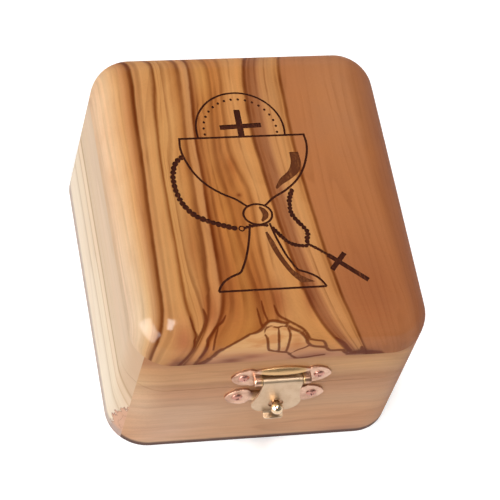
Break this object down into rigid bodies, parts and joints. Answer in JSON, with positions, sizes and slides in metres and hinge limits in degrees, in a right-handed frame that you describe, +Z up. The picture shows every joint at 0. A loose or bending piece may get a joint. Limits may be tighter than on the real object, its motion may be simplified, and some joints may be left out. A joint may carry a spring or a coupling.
{
  "type": "rosary box",
  "caption": "Small lidded wooden box with mitred walls, a bullnosed lid on two brass butt hinges, and a brass flap clasp that hooks over a ball stud.",
  "frame": {"origin": "middle of the underside of the closed box, without its clasp", "axes": "+X to the box's right seen from the front, +Y to the back where the hinges are, +Z up"},
  "size_m": [0.08, 0.0999, 0.055],
  "materials": {
    "wood_base_front": "satin lacquer",
    "wood_base_back": "satin lacquer",
    "wood_base_left": "satin lacquer",
    "wood_base_right": "satin lacquer",
    "wood_floor": "satin lacquer",
    "wood_lid_panel": "satin lacquer",
    "wood_lid_front": "satin lacquer",
    "wood_lid_back": "satin lacquer",
    "wood_lid_left": "satin lacquer",
    "wood_lid_right": "satin lacquer",
    "clasp_plates": "polished",
    "clasp_flap": "fine matt",
    "clasp_pin": "polished",
    "ball_stud": "polished",
    "clasp_screws": "plated",
    "hinge_leaves": "satin",
    "hinge_pins": "satin",
    "hinge_screws": "satin"
  },
  "bodies": {
    "base": {"base_front_wall": "wood_base_front", "base_back_wall": "wood_base_back", "base_left_wall": "wood_base_left", "base_right_wall": "wood_base_right", "base_floor": "wood_floor", "clasp_bottom_plate": "clasp_plates", "clasp_ball_stud": "ball_stud", "clasp_bottom_screws": "clasp_screws", "left_hinge_base_leaf": "hinge_leaves", "right_hinge_base_leaf": "hinge_leaves", "left_hinge_pin": "hinge_pins", "right_hinge_pin": "hinge_pins", "hinge_base_screws": "hinge_screws"},
    "lid": {"lid_panel": "wood_lid_panel", "lid_front_rail": "wood_lid_front", "lid_back_rail": "wood_lid_back", "lid_left_rail": "wood_lid_left", "lid_right_rail": "wood_lid_right", "clasp_top_plate": "clasp_plates", "clasp_pin": "clasp_pin", "clasp_top_screws": "clasp_screws", "left_hinge_lid_leaf": "hinge_leaves", "right_hinge_lid_leaf": "hinge_leaves", "hinge_lid_screws": "hinge_screws"},
    "clasp_flap": {"clasp_flap": "clasp_flap"}
  },
  "joints": [
    {"name": "lid_hinge", "type": "hinge", "parent": "base", "child": "lid", "pos_m": [0, 0.04555, 0.03058], "axis": [-1, 0, 0], "range_deg": [0, 110]},
    {"name": "clasp_flap_hinge", "type": "hinge", "parent": "lid", "child": "clasp_flap", "pos_m": [0.0008, -0.04865, 0.036], "axis": [-1, 0, 0], "range_deg": [0, 150]}
  ]
}
